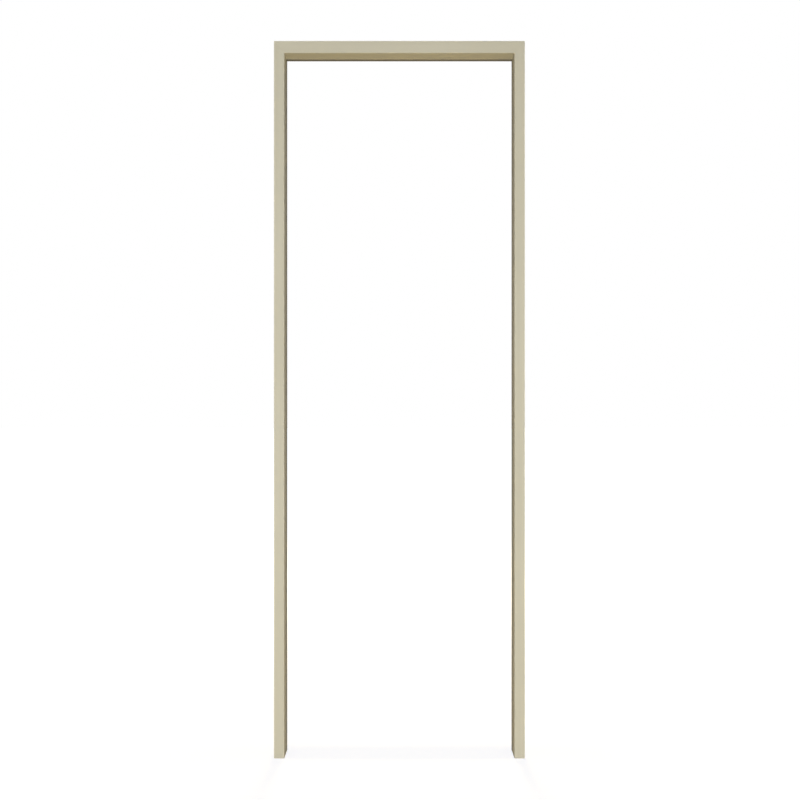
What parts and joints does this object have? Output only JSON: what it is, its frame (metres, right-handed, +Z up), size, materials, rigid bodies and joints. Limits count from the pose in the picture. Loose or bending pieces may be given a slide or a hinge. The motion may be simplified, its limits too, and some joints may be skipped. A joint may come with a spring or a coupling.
{
  "type": "upvc door frame",
  "caption": "Plain three-sided uPVC door frame: hollow jambs and head mitred at the corners, with a stop, a seal along it and a rebate for a door leaf; no sill.",
  "frame": {"origin": "on the floor, midway between the jambs and midway through the frame's depth", "axes": "+Z up the jambs, +X from the left jamb to the right one, +Y from the stop side towards the rebate that takes the leaf"},
  "size_m": [0.7, 0.1, 2],
  "materials": {
    "upvc": "smooth satin, through-coloured beige",
    "seal": "matt, dark grey-brown",
    "galvanised_steel": "galvanised, spangled",
    "key_nylon": "moulded, fine grain",
    "screw_steel": "bright zinc plated"
  },
  "bodies": {
    "root": {"jamb_left": "upvc", "jamb_right": "upvc", "head": "upvc", "seal_left": "seal", "seal_right": "seal", "seal_head": "seal", "stiffener_left": "galvanised_steel", "stiffener_right": "galvanised_steel", "stiffener_head": "galvanised_steel", "corner_key_left": "key_nylon", "corner_key_right": "key_nylon", "corner_screw_left_1": "screw_steel", "corner_screw_left_2": "screw_steel", "corner_screw_left_3": "screw_steel", "corner_screw_left_4": "screw_steel", "corner_screw_right_1": "screw_steel", "corner_screw_right_2": "screw_steel", "corner_screw_right_3": "screw_steel", "corner_screw_right_4": "screw_steel", "stiffener_screw_left_1": "screw_steel", "stiffener_screw_left_2": "screw_steel", "stiffener_screw_left_3": "screw_steel", "stiffener_screw_left_4": "screw_steel", "stiffener_screw_left_5": "screw_steel", "stiffener_screw_right_1": "screw_steel", "stiffener_screw_right_2": "screw_steel", "stiffener_screw_right_3": "screw_steel", "stiffener_screw_right_4": "screw_steel", "stiffener_screw_right_5": "screw_steel", "stiffener_screw_head_1": "screw_steel", "stiffener_screw_head_2": "screw_steel"}
  },
  "joints": []
}
